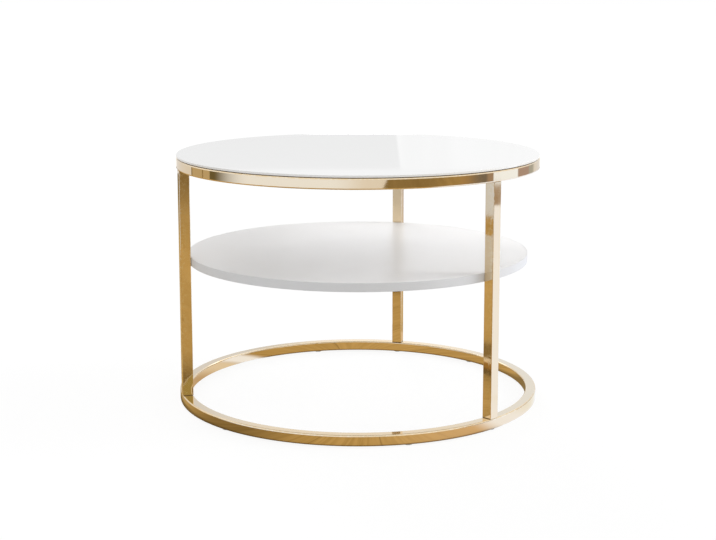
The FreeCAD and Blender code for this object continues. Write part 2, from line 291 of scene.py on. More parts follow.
def white_lacquer():
    """The coat under the plate: rolled-on white paint."""
    finish, shader = surface("white_lacquer", {"Specular IOR Level": 0.35})
    cloud = finish.noise(scale=11.0, detail=4)
    finish.feed(shader, {"Base Color": finish.blend(cloud, LACQUER_DULL, LACQUER_PALE)})
    finish.feed(shader, {"Roughness": 0.42 + finish.noise(scale=130.0, detail=3) * 0.16})
    rolled = finish.noise(scale=700.0, detail=3)
    finish.feed(shader, {"Normal": finish.bump(rolled, depth=0.00006, strength=0.5)})
    return finish.owner


def coated_board():
    """White melamine face: fine pearl texture, a few dull patches."""
    finish, shader = surface("coated_board", {"Specular IOR Level": 0.5})
    cloud = finish.noise(scale=6.0, detail=4)
    fleck = finish.ramp(finish.noise(scale=1100.0, detail=2), 0.66, 0.78)
    white = finish.blend(cloud, BOARD_DULL, BOARD_PALE)
    finish.feed(shader, {"Base Color": finish.blend(fleck * 0.25, white, BOARD_FLECK)})
    finish.feed(shader, {"Roughness": 0.28 + finish.noise(scale=22.0, detail=4) * 0.12})
    pearl = finish.noise(scale=1700.0, detail=2) + finish.noise(scale=520.0, detail=2) * 0.6
    finish.feed(shader, {"Normal": finish.bump(pearl, depth=0.00007, strength=0.55)})
    return finish.owner


def plastic_edging():
    """White edging strip: smooth plastic with fine drawn lines along it."""
    finish, shader = surface("plastic_edging", {"Specular IOR Level": 0.4})
    cloud = finish.noise(scale=14.0, detail=3)
    finish.feed(shader, {"Base Color": finish.blend(cloud, EDGING_DULL, EDGING_PALE)})
    drawn = finish.noise(scale=45.0, detail=3, stretch=(1, 1, 60))
    finish.feed(shader, {"Roughness": 0.36 + drawn * 0.14})
    pits = finish.noise(scale=1300.0, detail=2)
    finish.feed(shader, {"Normal": finish.bump(drawn + pits * 0.5, depth=0.00003, strength=0.5)})
    return finish.owner


def clear_silicone():
    """Small clear bumpers, slightly milky."""
    finish, shader = surface("clear_silicone", {"Transmission Weight": 0.55, "IOR": SILICONE_IOR})
    milk = finish.noise(scale=500.0, detail=3)
    finish.feed(shader, {"Base Color": finish.blend(milk, SILICONE_MILKY, SILICONE_CLEAR)})
    finish.feed(shader, {"Roughness": 0.16 + finish.noise(scale=900.0, detail=2) * 0.2})
    finish.feed(shader, {"Normal": finish.bump(milk, depth=0.00004, strength=0.4)})
    return finish.owner


def moulded_plastic(name, light, dark):
    """Fine-grained moulded plastic between two close tones."""
    finish, shader = surface(name, {"Specular IOR Level": 0.4})
    finish.feed(shader, {"Base Color": finish.blend(finish.noise(scale=60.0, detail=4), dark, light)})
    grain = finish.noise(scale=2600.0, detail=2)
    finish.feed(shader, {"Roughness": 0.46 + grain * 0.22})
    finish.feed(shader, {"Normal": finish.bump(grain, depth=0.00006, strength=0.6)})
    return finish.owner


def zinc_plate():
    """Bright zinc on bolts, washers and screws, with cloudy spangle."""
    finish, shader = surface("zinc_plate", {"Metallic": 1.0})
    spangle = finish.noise(scale=420.0, detail=5)
    finish.feed(shader, {"Base Color": finish.blend(spangle, ZINC_DULL, ZINC_BRIGHT)})
    finish.feed(shader, {"Roughness": 0.22 + spangle * 0.24})
    pits = finish.noise(scale=2400.0, detail=2)
    finish.feed(shader, {"Normal": finish.bump(pits, depth=0.00003, strength=0.5)})
    return finish.owner


def sawn_steel():
    """Plain steel plugs with saw marks across them."""
    finish, shader = surface("sawn_steel", {"Metallic": 1.0})
    saw = finish.noise(scale=260.0, detail=4, stretch=(0.08, 1, 1))
    finish.feed(shader, {"Base Color": finish.blend(saw, STEEL_DARK, STEEL_PALE)})
    finish.feed(shader, {"Roughness": 0.34 + saw * 0.25})
    finish.feed(shader, {"Normal": finish.bump(saw, depth=0.00005, strength=0.6)})
    return finish.owner


def finish_piece(name, bm, body, node, slot, *materials):
    """Turns a bmesh into a piece that stands for one CAD node."""
    mesh = bpy.data.meshes.new(name)
    bm.to_mesh(mesh)
    bm.free()
    piece = bpy.data.objects.new(name, mesh)
    bpy.context.scene.collection.objects.link(piece)
    for material in materials:
        mesh.materials.append(material)
    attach(piece, body)
    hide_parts(node)
    return piece


def shade(bm, seams=()):
    """Smooth faces all over, with a crease along the given edges and at every square corner."""
    for face in bm.faces:
        face.smooth = True
    for edge in bm.edges:
        if len(edge.link_faces) == 2 and edge.calc_face_angle() > math.radians(CREASE_ANGLE):
            edge.smooth = False
    for edge in seams:
        edge.smooth = False


def ease(bm, edges, radius, steps):
    """Rounds edges and returns the new faces."""
    made = bmesh.ops.bevel(
        bm, geom=edges, offset=radius, affect="EDGES", segments=steps, profile=0.5, material=-1,
    )
    return set(made["faces"])


def border(faces):
    """The edges round a set of faces."""
    return [e for face in faces for e in face.edges if sum(f in faces for f in e.link_faces) == 1]


def slice_through(bm, normal, levels):
    """Cuts loops into all the faces where planes of one direction cross them."""
    for level in levels:
        everything = bm.verts[:] + bm.edges[:] + bm.faces[:]
        place = [level * part for part in normal]
        bmesh.ops.bisect_plane(bm, geom=everything, plane_co=place, plane_no=normal)


def wear_edges(bm, rounded):
    """Marks rounded edges as worn and creases the lines where the flats begin."""
    wear = bm.verts.layers.float.new("edge_wear")
    for face in rounded:
        for vert in face.verts:
            vert[wear] = 1.0
    shade(bm, border(rounded))


def radius_of(point):
    """How far a point lies from the table's axis."""
    return math.hypot(point.x, point.y)


def runs_round(edge):
    """Whether an edge lies along a circle round the table's axis."""
    first, second = (vert.co for vert in edge.verts)
    level = abs(first.z - second.z) < NEAR
    return level and abs(radius_of(first) - radius_of(second)) < NEAR


def square_loop(bm, inner, outer, low, high):
    """An upright square outline beside the table's axis."""
    corners = [(inner, low), (outer, low), (outer, high), (inner, high)]
    verts = [bm.verts.new((x, 0, z)) for x, z in corners]
    return [bm.edges.new((verts[i - 1], verts[i])) for i in range(len(verts))]


def spin_round(bm, edges):
    """Sweeps an outline all the way round the table's axis."""
    verts = list({vert for edge in edges for vert in edge.verts})
    bmesh.ops.spin(
        bm, geom=verts + edges, cent=(0, 0, 0), axis=(0, 0, 1), angle=2 * math.pi,
        steps=ROUND_STEPS, use_merge=True,
    )
    bmesh.ops.remove_doubles(bm, verts=bm.verts, dist=NEAR)


def at_leg(azimuth, across, z):
    """The move from the origin to a leg, at a distance from the table's axis."""
    return Matrix.Rotation(math.radians(azimuth), 4, "Z") @ Matrix.Translation((across, 0, z))


def add_drill(bm, across, radius, low, high):
    """A round cutter at every leg, at a distance from the table's axis."""
    for azimuth in LEG_AZIMUTHS.values():
        bmesh.ops.create_cone(
            bm, cap_ends=True, segments=HOLE_STEPS, radius1=radius, radius2=radius,
            depth=high - low, matrix=at_leg(azimuth, across, (low + high) / 2),
        )


def carve(piece, cutters):
    """Cuts the shapes of a bmesh out of a piece."""
    mesh = bpy.data.meshes.new("cutters")
    cutters.to_mesh(mesh)
    cutters.free()
    cutter = bpy.data.objects.new("cutters", mesh)
    bpy.context.scene.collection.objects.link(cutter)
    cut = piece.modifiers.new("carve", "BOOLEAN")
    cut.object = cutter
    cut.operation = "DIFFERENCE"
    cut.solver = "EXACT"
    ready = piece.evaluated_get(bpy.context.evaluated_depsgraph_get())
    carved = bpy.data.meshes.new_from_object(ready)
    piece.modifiers.clear()
    piece.data = carved
    bpy.data.objects.remove(cutter)
    bm = bmesh.new()
    bm.from_mesh(carved)
    shade(bm)
    bm.to_mesh(carved)
    bm.free()


def tube_ring(node, gold, access_from_above):
    """A ring rolled from square tube, hollow, with holes for the bolts at the legs."""
    low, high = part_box(node)
    inner = RING_RADIUS - TUBE_SIDE
    bm = bmesh.new()
    spin_round(bm, square_loop(bm, inner, RING_RADIUS, low.z, high.z))
    bmesh.ops.recalc_face_normals(bm, faces=bm.faces)
    corners = [edge for edge in bm.edges if runs_round(edge)]
    rounded = ease(bm, corners, RING_CORNER, CORNER_STEPS)
    flats = [face for face in bm.faces if face not in rounded]
    bmesh.ops.inset_region(bm, faces=flats, thickness=EDGE_MARGIN, use_even_offset=True, use_boundary=True)
    wear_edges(bm, rounded)
    outside = set(bm.faces)
    bore = square_loop(
        bm, inner + TUBE_WALL, RING_RADIUS - TUBE_WALL, low.z + TUBE_WALL, high.z - TUBE_WALL,
    )
    spin_round(bm, bore)
    lining = [face for face in bm.faces if face not in outside]
    bmesh.ops.recalc_face_normals(bm, faces=lining)
    bmesh.ops.reverse_faces(bm, faces=lining)
    piece = finish_piece(node + "_tube", bm, "table_frame", node, "gold_tube", gold)
    above, below = ACCESS_HOLE_RADIUS, BOLT_HOLE_RADIUS
    if not access_from_above:
        above, below = below, above
    drills = bmesh.new()
    middle = (low.z + high.z) / 2
    add_drill(drills, LEG_CIRCLE, above, middle, high.z + TUBE_WALL)
    add_drill(drills, LEG_CIRCLE, below, low.z - TUBE_WALL, middle)
    carve(piece, drills)
    return piece


def mark_foot(bm):
    """Marks the foot of a leg, where the joint gets a band of painted shade; on the outer side it is
    polished flush.
    """
    slice_through(bm, (0, 0, 1), (SEAM_SHADE_WIDTH,))
    slice_through(bm, (1, 0, 0), (MARGIN_LINE,))
    # The band at the foot that gets painted shade
    shaded_seam = bm.verts.layers.float.new("shaded_joint")
    for vert in bm.verts:
        if vert.co.z < SEAM_SHADE_WIDTH / 2 and vert.co.x < HALF_FLAT:
            vert[shaded_seam] = 1.0


def leg_tube(node, gold):
    """An upright length of square tube with rounded corners and a joint line of painted shade at its foot.
    """
    low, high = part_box(node)
    length = high.z - low.z
    bm = bmesh.new()
    bmesh.ops.create_grid(bm, x_segments=1, y_segments=1, size=TUBE_SIDE / 2)
    bmesh.ops.inset_individual(bm, faces=bm.faces[:], thickness=TUBE_WALL, use_even_offset=True)
    middle = min(bm.faces, key=lambda face: face.calc_center_median().length)
    bmesh.ops.delete(bm, geom=[middle], context="FACES_ONLY")
    raised = bmesh.ops.extrude_face_region(bm, geom=bm.faces[:])["geom"]
    lifted = [item for item in raised if isinstance(item, bmesh.types.BMVert)]
    bmesh.ops.translate(bm, verts=lifted, vec=(0, 0, length))
    bmesh.ops.remove_doubles(bm, verts=bm.verts, dist=NEAR)
    bmesh.ops.recalc_face_normals(bm, faces=bm.faces)
    mark_foot(bm)
    half = TUBE_SIDE / 2 - NEAR
    outer = [e for e in bm.edges if all(max(abs(v.co.x), abs(v.co.y)) > half for v in e.verts)]
    upright = [e for e in outer if abs(e.verts[0].co.z - e.verts[1].co.z) > SEAM_SHADE_WIDTH / 2]
    rounded = ease(bm, upright, LEG_CORNER, CORNER_STEPS)
    for normal in ((1, 0, 0), (0, 1, 0)):
        slice_through(bm, normal, (-MARGIN_LINE, MARGIN_LINE))
    wear_edges(bm, rounded)
    bmesh.ops.transform(bm, matrix=at_leg(LEG_AZIMUTHS[node], LEG_CIRCLE, low.z), verts=bm.verts)
    return finish_piece(node + "_tube", bm, "table_frame", node, "gold_tube", gold)


def disc(radius, low, high, rim, steps):
    """A round plate with softened rims."""
    bm = bmesh.new()
    bmesh.ops.create_circle(bm, cap_ends=True, segments=ROUND_STEPS, radius=radius)
    bmesh.ops.translate(bm, verts=bm.verts, vec=(0, 0, low))
    raised = bmesh.ops.extrude_face_region(bm, geom=bm.faces[:])["geom"]
    lifted = [item for item in raised if isinstance(item, bmesh.types.BMVert)]
    bmesh.ops.translate(bm, verts=lifted, vec=(0, 0, high - low))
    bmesh.ops.recalc_face_normals(bm, faces=bm.faces)
    rims = [edge for edge in bm.edges if runs_round(edge)]
    rounded = ease(bm, rims, rim, steps)
    shade(bm, border(rounded))
    return bm


def glass_plate(face_finish, rim_finish, under_finish):
    """The white glass plate with its polished rim and painted underside."""
    low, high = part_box("glass_top")
    bm = disc(high.x, low.z, high.z, GLASS_ARRIS, ARRIS_STEPS)
    for face in bm.faces:
        if face.normal.z > LEVEL_NORMAL:
            face.material_index = 0
        elif face.normal.z < -LEVEL_NORMAL:
            face.material_index = 2
        else:
            face.material_index = 1
    finishes = (face_finish, rim_finish, under_finish)
    return finish_piece("glass_plate_disc", bm, "glass_plate", "glass_top", "white_glass", *finishes)


def tab_seats():
    """Cutters for the recesses that take the tabs at the legs."""
    tab_low, tab_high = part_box("shelf_tab_back")
    inner = tab_low.y - TAB_CLEARANCE
    size = (tab_high.y - inner, 2 * (tab_high.x + TAB_CLEARANCE), 2 * (tab_high.z - tab_low.z))
    cutters = bmesh.new()
    for azimuth in LEG_AZIMUTHS.values():
        matrix = at_leg(azimuth, (inner + tab_high.y) / 2, tab_low.z) @ Matrix.Diagonal((*size, 1))
        bmesh.ops.create_cube(cutters, size=1, matrix=matrix)
    return cutters


def shelf_panel(board):
    """The coated board of the shelf, recessed for the tabs and drilled for their screws."""
    low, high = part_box("shelf_board")
    bm = disc(high.x, low.z, high.z, BOARD_BREAK, BREAK_STEPS)
    piece = finish_piece("shelf_panel", bm, "table_frame", "shelf_board", "white_board", board)
    carve(piece, tab_seats())
    pilots = bmesh.new()
    add_drill(pilots, LEG_CIRCLE - SCREW_SETBACK, PILOT_RADIUS, low.z, high.z - PILOT_COVER)
    carve(piece, pilots)
    return piece


def shelf_band(edging):
    """The plastic strip round the shelf's edge, rounded over on its outer side."""
    low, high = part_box("shelf_edge_band")
    bm = bmesh.new()
    spin_round(bm, square_loop(bm, high.x - BAND_THICKNESS, high.x, low.z, high.z))
    bmesh.ops.recalc_face_normals(bm, faces=bm.faces)
    middle = high.x - BAND_THICKNESS / 2
    outer = [e for e in bm.edges if runs_round(e) and radius_of(e.verts[0].co) > middle]
    shade(bm, border(ease(bm, outer, BAND_ROUND, BAND_ROUND_STEPS)))
    piece = finish_piece("shelf_edge_strip", bm, "table_frame", "shelf_edge_band", "white_edging", edging)
    carve(piece, tab_seats())
    return piece


def pad_azimuths():
    """Azimuths of the pads, evenly spread between the legs."""
    bay = 360 / len(LEG_AZIMUTHS)
    first = min(LEG_AZIMUTHS.values())
    for leg in range(len(LEG_AZIMUTHS)):
        for pad in range(PADS_PER_BAY):
            yield first + bay * (leg + (pad + 1) / (PADS_PER_BAY + 1))


def silicone_pads(silicone):
    """Clear bumpers on the upper ring, between the legs."""
    low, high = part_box("glass_pads")
    circle = RING_RADIUS - TUBE_SIDE / 2
    bm = bmesh.new()
    for azimuth in pad_azimuths():
        turn = Matrix.Rotation(math.radians(azimuth), 4, "Z")
        bmesh.ops.create_cone(
            bm, cap_ends=True, segments=PAD_STEPS, radius1=PAD_DIAMETER / 2,
            radius2=PAD_DIAMETER / 2, depth=high.z - low.z,
            matrix=turn @ Matrix.Translation((circle, 0, (low.z + high.z) / 2)),
        )
    upper = [e for e in bm.edges if all(abs(v.co.z - high.z) < NEAR for v in e.verts)]
    shade(bm, border(ease(bm, upper, PAD_ROUND, PAD_ROUND_STEPS)))
    return finish_piece("glass_pad_bumpers", bm, "table_frame", "glass_pads", "clear_silicone", silicone)


def dress_nodes(finishes):
    """Gives the CAD nodes that stay their finishes, by the words in their names."""
    for name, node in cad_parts.items():
        for words, material in finishes:
            if any(word in name for word in words):
                for slot in node.material_slots:
                    slot.material = material


# Camera at the photograph's viewing angle
CAMERA_AZIMUTH = 14.895
CAMERA_DISTANCE = 2.817
CAMERA_HEIGHT = 0.8092
CAMERA_PITCH = 9.309
CAMERA_LENS = 73.63
CAMERA_SHIFT = -0.07


def set_camera():
    """Puts the camera where the photograph was taken from."""
    data = bpy.data.cameras.new("camera")
    data.lens = CAMERA_LENS
    data.shift_y = CAMERA_SHIFT
    camera = bpy.data.objects.new("camera", data)
    azimuth = math.radians(CAMERA_AZIMUTH)
    camera.location = (
        math.sin(azimuth) * CAMERA_DISTANCE, -math.cos(azimuth) * CAMERA_DISTANCE, CAMERA_HEIGHT,
    )
    camera.rotation_euler = (math.radians(90 - CAMERA_PITCH), 0, azimuth)
    bpy.context.scene.collection.objects.link(camera)
    bpy.context.scene.camera = camera


# Studio: a white floor and room, soft suns, and toned cards that only the gold, the glass and the
# shelf mirror. Places on the cards are metres from the table's middle as the camera sees it,
# across to the right and along away from it. Turns are degrees from the camera's side round to
# the right, and reaches are metres from the table's middle. A pair of places is where a tone begins
# and where it is full; a third value is how softly a stretch begins and ends. A sun has its turn,
# its elevation in degrees and its level.
FLOOR_SIDE = 90.0
FLOOR_BOUNCE = 0.62
FLOOR_SHADE = 0.12
FLOOR_GLOW = 0.89
ROOM_LIGHT = 0.70
SUN_WIDTH = 30.0
SUNS = {"right_sun": (98, 25, 0.20), "back_sun": (-160, 25, 0.15)}

# Floor card in wood tones, with painted light and shade
CARD_LIFT = 0.0004
CARD_RADIUS = 9.0
CARD_STEPS = 96
STRIP_WIDTH = 0.138
STRIP_TURN = 83.0
STRIP_JOINT = 0.03
JOINT_SHADE = 0.7
GRAIN_SCALE = 14.0
GRAIN_DETAIL = 5
GRAIN_STRETCH = (0.5, 9, 1)
GRAIN_LEVELS = (0.36, 0.64)
WOOD_DARK = (0.47, 0.325, 0.122, 1.0)
WOOD_LIGHT = (0.66, 0.474, 0.212, 1.0)
WOOD_JOINT = (0.24, 0.155, 0.052, 1.0)
# Painted light on the floor just outside the ring, towards the right
WOOD_LIT = (0.80, 0.60, 0.40, 1.0)
# Painted shade far off, weaker past a turn to the right
DIM_REACHES = (1.6, 3.2)
DIM_TURNS = (40, 60)
DIMMING = 0.5
BESIDE_RING = (0.345, 0.52, 0.02)
SHADED_TURNS = (-66, -27, 15)
SIDE_SHADE = 0.5
# Painted light beside the ring, rising towards the right
LIT_SIDE_TURNS = (0, 45)
LIT_SIDE_SHARE = 0.8
UNDER_RING = (0.316, 0.361, 0.006)
CONTACT_SHADE = 0.55
POOL_REACHES = (0.29, 0.345, 0.04)
POOL_TURNS = (-50, 50, 20)
POOL_SHADE = 0.35
SUNLIT = (1.02, 1.13, 1.42, 1.0)
SUNLIT_TURNS = (46, 152, 6)
SUNLIT_REACHES = (0.340, 2.94, 0.006)
# Milder tint of the painted sunlight, beside the ring
SUNLIT_MELLOW = (0.96, 1.01, 1.05, 1.0)
SUNLIT_MELLOW_TURNS = (58, 75)
# Painted light on the floor inside the ring: a sunlit spot and a peach patch
INSIDE_RING = (0.20, 0.335, 0.002)
SUNLIT_SPOT_TURNS = (-142, -131, 3)
PALE_PEACH_LIGHT = (0.85, 0.78, 0.68, 1.0)
DULL_PEACH_LIGHT = (0.59, 0.435, 0.27, 1.0)
PEACH_LIGHT_TURNS = (-131, -85, 3)
PEACH_LIGHT_FADE = (-124, -106)
# Painted shade in a mauve stretch beyond the sunlit one
MAUVE_SHADE = (0.42, 0.325, 0.245, 1.0)
MAUVE_SHADE_TURNS = (80, 130, 6)
MAUVE_SHADE_REACHES = (2.94, 3.5, 0.006)

# Upright cards
ARC_STEPS = 24
ROOM_HEIGHTS = (0.0, 3.0)
LOW_HEIGHTS = (0.0, 0.6)
FADE_HEIGHTS = (0.48, 0.62)
FADED_WHITE = (0.95, 0.95, 0.95, 1.0)
FRONT_PLAN = [(-2.95, 0.243), (1.15, -3.718)]
COOL_WHITE = (0.955, 1.06, 1.30, 1.0)
WARM_WHITE = (0.85, 0.86, 0.92, 1.0)
WARM_ACROSS = (-0.6, 0.3)
# Painted shadow at the front card's left end and on a card beside it
SHADOW = (0.155, 0.125, 0.056, 1.0)
SHADOW_ACROSS = (-2.95, -1.75)
SHADOW_CARD_PLAN = [(-2.95, 0.243), (-2.96, 0.44)]
TAN = (0.55, 0.44, 0.265, 1.0)
TAN_RADIUS = 3.1
TAN_TURNS = [(-105.7, -98.5), (-119.2, -106.7)]
PALE_TAN = (0.80, 0.79, 0.79, 1.0)
PALE_TAN_PLAN = [(-2.70, 1.60), (-2.20, 2.70), (-1.40, 3.30)]
RAISED_TONE = (0.43, 0.385, 0.17, 1.0)
RAISED_RADIUS = 1.5
RAISED_HEIGHTS = (0.36, 0.53)
RAISED_TURNS = (0, 22)
RIGHT_RADIUS = 3.5
RIGHT_TURNS = (62, 172)
RIGHT_START = (0.42, 0.28, 0.125, 1.0)
# The first two tones make the stretch of painted shade
RIGHT_TONES = [
    (70.5, 8, (0.205, 0.178, 0.15, 1.0)),
    (82, 1.5, (0.38, 0.29, 0.222, 1.0)),
    (87.3, 0.5, (1.03, 1.21, 1.58, 1.0)),
    (112.2, 0.8, (0.455, 0.36, 0.35, 1.0)),
    (128, 1, (0.45, 0.475, 0.48, 1.0)),
    (137, 3, (0.80, 0.80, 0.82, 1.0)),
]

# Card behind the table: grey to the left of a leaning edge, pale folds to its right
BACK_PLAN = [(-9.0, 7.0), (9.0, 7.0)]
BACK_HEIGHTS = (0.0, 7.0)
BACK_GREY = (0.82, 0.82, 0.82, 1.0)
PALE_FOLD = (1.02, 1.02, 1.02, 1.0)
DULL_FOLD = (0.97, 0.97, 0.97, 1.0)
FOLD_SCALE = 5.0
FOLD_DETAIL = 3
FOLD_STRETCH = (1, 1, 0.05)
FOLD_LEVELS = (0.35, 0.65)
EDGE_ACROSS = 0.26
EDGE_HEIGHT = 1.2
EDGE_LEAN = 0.13
EDGE_SOFT = 0.01
BRIM_HEIGHTS = (1.40, 1.43)
BRIM = (0.94, 0.94, 0.94, 1.0)
MIDDLE_HEIGHTS = (1.47, 1.52)
MIDDLE_LEFT = (0.67, 0.665, 0.66, 1.0)
MIDDLE_RIGHT = (1.06, 1.06, 1.06, 1.0)
MIDDLE_ACROSS = (-0.8, 0.0)
BESIDE_ACROSS = (1.25, 1.45)
UPPER_HEIGHTS = (1.70, 1.82)
UPPER_LEFT = (0.76, 0.79, 0.86, 1.0)
UPPER_RIGHT = (0.88, 0.96, 1.10, 1.0)
UPPER_ACROSS = (-1.2, -0.4)
CREST_HEIGHTS = (2.20, 2.35)
CREST = (0.90, 0.885, 0.87, 1.0)

# Low card behind the table, at the height where the shelf mirrors it
SHELF_CARD_PLAN = [(-0.6, 0.7), (0.6, 0.7)]
SHELF_CARD_HEIGHTS = (0.36, 0.52)
SHELF_FADE = (0.36, 0.44)
SHELF_START = (1.00, 0.99, 0.97, 1.0)
SHELF_TONES = [
    (-0.46, 0.10, (1.15, 1.16, 1.18, 1.0)),
    (-0.175, 0.125, (2.22, 2.24, 2.30, 1.0)),
    (0.46, 0.12, SHELF_START),
]


def seen_directly(finish):
    """1 for camera, mirror and see-through rays, 0 for the light that they bounce."""
    camera = finish.node("ShaderNodeLightPath", {}, {}, "Is Camera Ray")
    mirror = finish.node("ShaderNodeLightPath", {}, {}, "Is Glossy Ray")
    through = finish.node("ShaderNodeLightPath", {}, {}, "Is Transmission Ray")
    return camera.math("MAXIMUM", camera.math("MAXIMUM", camera, mirror), through)


def light_room():
    """A white room that lights the table evenly."""
    world = bpy.data.worlds.new("white_room")
    bpy.context.scene.world = world
    finish = Finish(world)
    strength = finish.ramp(seen_directly(finish), 0.0, 1.0, ROOM_LIGHT, 1.0)
    finish.feed(finish.tree.nodes["Background"], {"Color": grey(1.0), "Strength": strength})


def stage_mesh(name, bm, material):
    """Turns a bmesh into a part of the stage."""
    mesh = bpy.data.meshes.new(name)
    bm.to_mesh(mesh)
    bm.free()
    thing = bpy.data.objects.new(name, mesh)
    bpy.context.scene.collection.objects.link(thing)
    mesh.materials.append(material)
    return thing


def pale_floor():
    """A white floor that keeps the table's shadow."""
    finish = Finish(bpy.data.materials.new("pale_floor"))
    bounced = finish.node("ShaderNodeBsdfDiffuse", {}, {"Color": grey(FLOOR_BOUNCE)})
    shaded = finish.node("ShaderNodeBsdfDiffuse", {}, {"Color": grey(FLOOR_SHADE)})
    lit = finish.node("ShaderNodeEmission", {}, {"Color": grey(FLOOR_GLOW)})
    shown = finish.node("ShaderNodeAddShader", {}, {0: shaded, 1: lit})
    mixed = finish.node("ShaderNodeMixShader", {}, {0: seen_directly(finish), 1: bounced, 2: shown})
    finish.feed(finish.tree.nodes["Material Output"], {"Surface": mixed})
    bm = bmesh.new()
    bmesh.ops.create_grid(bm, x_segments=1, y_segments=1, size=FLOOR_SIDE / 2)
    stage_mesh("floor", bm, finish.owner)


def only_mirrored(thing):
    """Turns a card to the camera and hides it from all but mirror rays."""
    thing.visible_camera = False
    thing.visible_diffuse = False
    thing.visible_transmission = False
    thing.visible_shadow = False
    thing.visible_volume_scatter = False
    thing.rotation_euler = (0, 0, math.radians(CAMERA_AZIMUTH))


def card_finish(name):
    """A new material for a card."""
    return Finish(bpy.data.materials.new(name))


def shine(finish, colour):
    """Makes a card show a colour at its own brightness."""
    lit = finish.node("ShaderNodeEmission", {}, {"Color": colour})
    finish.feed(finish.tree.nodes["Material Output"], {"Surface": lit})
    return finish.owner


def distance(across, along):
    """How far a place on a card lies from the table's middle."""
    return across.math("SQRT", across * across + along * along)


def turn_of(across, along):
    """The turn of a place on a card, in degrees."""
    return across.math("ARCTAN2", across, 0 - along) * (180 / math.pi)


def stepped(finish, value, start, tones):
    """Goes from tone to tone along a value; each has the place where it begins and how softly."""
    colour = start
    for place, soft, tint in tones:
        colour = finish.blend(finish.ramp(value, place - soft, place + soft), colour, tint)
    return colour


def wood_strips(finish):
    """Strips of wood tones with grain along them and dark joints between them."""
    turned = finish.mapping(finish.spot(), Rotation=(0, 0, math.radians(STRIP_TURN)))
    row = finish.axes(turned)[1] * (1 / STRIP_WIDTH)
    number = {"W": row.math("FLOOR", row)}
    tone = finish.node("ShaderNodeTexWhiteNoise", {"noise_dimensions": "1D"}, number)
    grain = finish.noise(GRAIN_SCALE, GRAIN_DETAIL, GRAIN_STRETCH, turned)
    figure = finish.ramp(grain, *GRAIN_LEVELS)
    wood = finish.blend((tone + figure) * 0.5, WOOD_DARK, WOOD_LIGHT)
    joint = 1 - finish.ramp(row.math("FRACT", row), 0, STRIP_JOINT)
    return finish.blend(joint * JOINT_SHADE, wood, WOOD_JOINT)


def floor_card():
    """The floor that the gold mirrors: wood tones with painted light and shade, dimmer far off, with lit
    and shaded stretches and lit patches inside the ring.
    """
    finish = card_finish("floor_card")
    across, along, _ = finish.axes(finish.spot())
    reach = distance(across, along)
    turn = turn_of(across, along)
    # Painted shade far off, weaker past a turn to the right
    far_shade = finish.ramp(reach, *DIM_REACHES) * finish.ramp(turn, *DIM_TURNS, DIMMING, DIMMING / 2)
    beside = finish.between(reach, *BESIDE_RING)
    shaded = beside * finish.between(turn, *SHADED_TURNS) * SIDE_SHADE
    under = finish.between(reach, *UNDER_RING) * CONTACT_SHADE
    pool = finish.between(reach, *POOL_REACHES) * finish.between(turn, *POOL_TURNS) * POOL_SHADE
    # Painted light just outside the ring, rising towards the right
    lit_side = beside * finish.ramp(turn, *LIT_SIDE_TURNS) * LIT_SIDE_SHARE
    colour = finish.blend(lit_side, wood_strips(finish), WOOD_LIT)
    for shade_of in (far_shade, shaded, under, pool):
        colour = finish.blend(shade_of, colour, grey(0.0))
    # Painted sunlight in a stretch to the right, milder beside the ring
    lit = finish.between(turn, *SUNLIT_TURNS) * finish.between(reach, *SUNLIT_REACHES)
    sunlit_mellow = beside * finish.ramp(turn, *SUNLIT_MELLOW_TURNS)
    colour = finish.blend(lit, colour, finish.blend(sunlit_mellow, SUNLIT, SUNLIT_MELLOW))
    # Painted shade in a mauve stretch beyond the sunlit one
    mauve_shade = finish.between(turn, *MAUVE_SHADE_TURNS) * finish.between(reach, *MAUVE_SHADE_REACHES)
    colour = finish.blend(mauve_shade, colour, MAUVE_SHADE)
    # Painted light on the floor inside the ring: a sunlit spot and a peach patch
    inside = finish.between(reach, *INSIDE_RING)
    peach_light = finish.blend(finish.ramp(turn, *PEACH_LIGHT_FADE), PALE_PEACH_LIGHT, DULL_PEACH_LIGHT)
    for turns, tint in ((PEACH_LIGHT_TURNS, peach_light), (SUNLIT_SPOT_TURNS, SUNLIT)):
        colour = finish.blend(finish.between(turn, *turns) * inside, colour, tint)
    bm = bmesh.new()
    bmesh.ops.create_circle(bm, cap_ends=True, segments=CARD_STEPS, radius=CARD_RADIUS)
    bmesh.ops.translate(bm, verts=bm.verts, vec=(0, 0, CARD_LIFT))
    only_mirrored(stage_mesh("floor_card", bm, shine(finish, colour)))


def upright_card(name, plan, heights, material):
    """A card standing upright along a line of places, between two heights."""
    low, high = heights
    bm = bmesh.new()
    foot = [bm.verts.new((across, along, low)) for across, along in plan]
    runs = [bm.edges.new(pair) for pair in zip(foot, foot[1:])]
    raised = bmesh.ops.extrude_edge_only(bm, edges=runs)["geom"]
    head = [item for item in raised if isinstance(item, bmesh.types.BMVert)]
    bmesh.ops.translate(bm, verts=head, vec=(0, 0, high - low))
    only_mirrored(stage_mesh(name, bm, material))


def plain_card(name, plan, heights, colour):
    """An upright card of one colour."""
    upright_card(name, plan, heights, shine(card_finish(name), colour))


def arc_plan(turns, radius):
    """Places along an arc round the table between two turns."""
    first, last = turns
    step = (last - first) / ARC_STEPS
    places = [math.radians(first + step * number) for number in range(ARC_STEPS + 1)]
    return [(math.sin(turn) * radius, -math.cos(turn) * radius) for turn in places]


